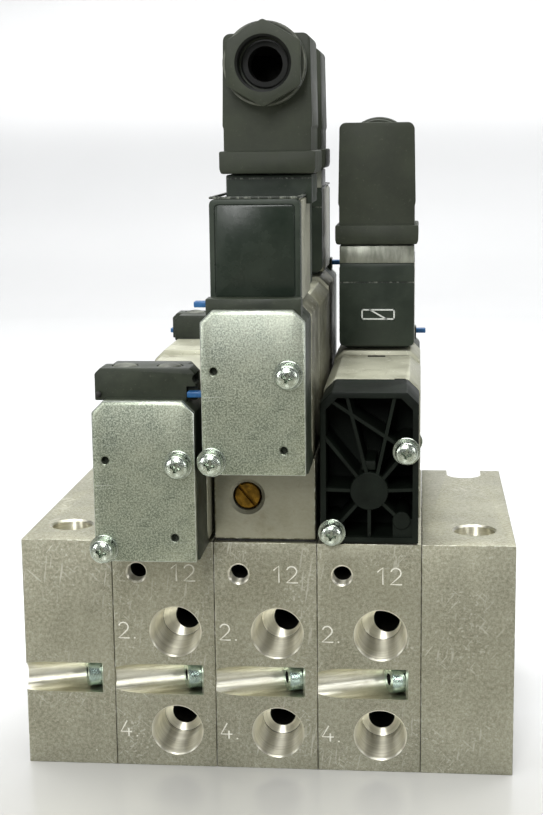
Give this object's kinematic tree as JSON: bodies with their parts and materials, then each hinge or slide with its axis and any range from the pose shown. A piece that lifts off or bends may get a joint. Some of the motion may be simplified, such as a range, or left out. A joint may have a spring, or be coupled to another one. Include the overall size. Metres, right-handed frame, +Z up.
{
  "type": "solenoid directional valve",
  "caption": "Pneumatic manifold block with air-piloted, double-solenoid and spring-return directional valves, connector plugs and front working ports.",
  "frame": {"origin": "centre of the manifold's bottom face", "axes": "+Z up, -Y towards the front with the working ports, +X to the right along the row of stations"},
  "size_m": [0.129, 0.1412, 0.1935],
  "materials": {
    "machined_aluminium": "milled, with fine tool marks and scratches",
    "valve_body": "satin, with a pale beige coating",
    "spool_aluminium": "turned",
    "zinc_plate": "zinc plated, lightly mottled",
    "steel_screw": "bright zinc plated",
    "spring_steel": "drawn wire",
    "armature_steel": "turned",
    "brass_screw": "turned",
    "black_housing": "moulded, satin",
    "coil_shell": "moulded, satin",
    "plug_shell": "moulded, fine grain",
    "override_blue": "moulded",
    "rubber_gasket": "smooth"
  },
  "bodies": {
    "manifold": {"left_end_plate": "machined_aluminium", "right_end_plate": "machined_aluminium", "sub_base_1": "machined_aluminium", "sub_base_2": "machined_aluminium", "sub_base_3": "machined_aluminium", "joining_screw_1": "steel_screw", "joining_screw_2": "steel_screw", "joining_screw_3": "steel_screw", "joining_screw_4": "steel_screw", "throttle_plate": "machined_aluminium", "left_gasket": "rubber_gasket", "left_valve_body": "valve_body", "middle_gasket": "rubber_gasket", "middle_valve_body": "valve_body", "right_gasket": "rubber_gasket", "right_valve_body": "valve_body", "left_front_pilot_block": "valve_body", "left_front_cover_plate": "zinc_plate", "left_front_pilot_head": "black_housing", "left_rear_pilot_block": "valve_body", "left_rear_cover_plate": "zinc_plate", "left_rear_pilot_head": "black_housing", "middle_front_pilot_block": "valve_body", "middle_front_cover_plate": "zinc_plate", "middle_front_pilot_housing": "black_housing", "middle_front_coil": "coil_shell", "middle_front_plug": "plug_shell", "middle_front_gland_nut": "plug_shell", "middle_rear_pilot_block": "valve_body", "middle_rear_cover_plate": "zinc_plate", "middle_rear_pilot_housing": "black_housing", "middle_rear_coil": "coil_shell", "middle_rear_plug": "plug_shell", "middle_rear_gland_nut": "plug_shell", "right_rear_pilot_block": "valve_body", "right_rear_cover_plate": "zinc_plate", "right_rear_pilot_housing": "black_housing", "right_rear_coil": "coil_shell", "right_rear_plug": "plug_shell", "right_rear_gland_nut": "plug_shell", "end_cap": "black_housing", "return_spring": "spring_steel", "left_front_screw_upper": "steel_screw", "left_front_screw_lower": "steel_screw", "middle_front_screw_upper": "steel_screw", "middle_front_screw_lower": "steel_screw", "end_cap_screw_upper": "steel_screw", "end_cap_screw_lower": "steel_screw"},
    "throttle_screw": {"throttle_screw": "brass_screw"},
    "left_spool": {"left_spool": "spool_aluminium"},
    "middle_spool": {"middle_spool": "spool_aluminium"},
    "right_spool": {"right_spool": "spool_aluminium"},
    "middle_front_armature": {"middle_front_armature": "armature_steel"},
    "middle_rear_armature": {"middle_rear_armature": "armature_steel"},
    "right_rear_armature": {"right_rear_armature": "armature_steel"},
    "left_front_override": {"left_front_override": "override_blue"},
    "left_rear_override": {"left_rear_override": "override_blue"},
    "middle_front_override": {"middle_front_override": "override_blue"},
    "middle_rear_override": {"middle_rear_override": "override_blue"},
    "right_rear_override": {"right_rear_override": "override_blue"}
  },
  "joints": [
    {"name": "throttle_turn", "type": "hinge", "parent": "manifold", "child": "throttle_screw", "pos_m": [-0.0046, -0.0426, 0.0739], "axis": [0, -1, 0], "continuous": true},
    {"name": "left_spool_slide", "type": "slide", "parent": "manifold", "child": "left_spool", "axis": [0, 1, 0], "range_m": [0, 0.004]},
    {"name": "middle_spool_slide", "type": "slide", "parent": "manifold", "child": "middle_spool", "axis": [0, 1, 0], "range_m": [0, 0.004]},
    {"name": "right_spool_slide", "type": "slide", "parent": "manifold", "child": "right_spool", "axis": [0, -1, 0], "range_m": [0, 0.004], "stiffness_N_per_m": 800, "springref_m": -0.004, "deforming": ["return_spring"]},
    {"name": "middle_front_armature_slide", "type": "slide", "parent": "manifold", "child": "middle_front_armature", "axis": [0, 1, 0], "range_m": [0, 0.0008], "stiffness_N_per_m": 1500, "springref_m": -0.002},
    {"name": "middle_rear_armature_slide", "type": "slide", "parent": "manifold", "child": "middle_rear_armature", "axis": [0, -1, 0], "range_m": [0, 0.0008], "stiffness_N_per_m": 1500, "springref_m": -0.002},
    {"name": "right_rear_armature_slide", "type": "slide", "parent": "manifold", "child": "right_rear_armature", "axis": [0, -1, 0], "range_m": [0, 0.0008], "stiffness_N_per_m": 1500, "springref_m": -0.002},
    {"name": "left_front_override_push", "type": "slide", "parent": "manifold", "child": "left_front_override", "axis": [0, 0, -1], "range_m": [0, 0.001], "stiffness_N_per_m": 1200, "springref_m": -0.001},
    {"name": "left_rear_override_push", "type": "slide", "parent": "manifold", "child": "left_rear_override", "axis": [0, 0, -1], "range_m": [0, 0.001], "stiffness_N_per_m": 1200, "springref_m": -0.001},
    {"name": "middle_front_override_push", "type": "slide", "parent": "manifold", "child": "middle_front_override", "axis": [0, 0, -1], "range_m": [0, 0.001], "stiffness_N_per_m": 1200, "springref_m": -0.001},
    {"name": "middle_rear_override_push", "type": "slide", "parent": "manifold", "child": "middle_rear_override", "axis": [0, 0, -1], "range_m": [0, 0.001], "stiffness_N_per_m": 1200, "springref_m": -0.001},
    {"name": "right_rear_override_push", "type": "slide", "parent": "manifold", "child": "right_rear_override", "axis": [0, 0, -1], "range_m": [0, 0.001], "stiffness_N_per_m": 1200, "springref_m": -0.001}
  ]
}
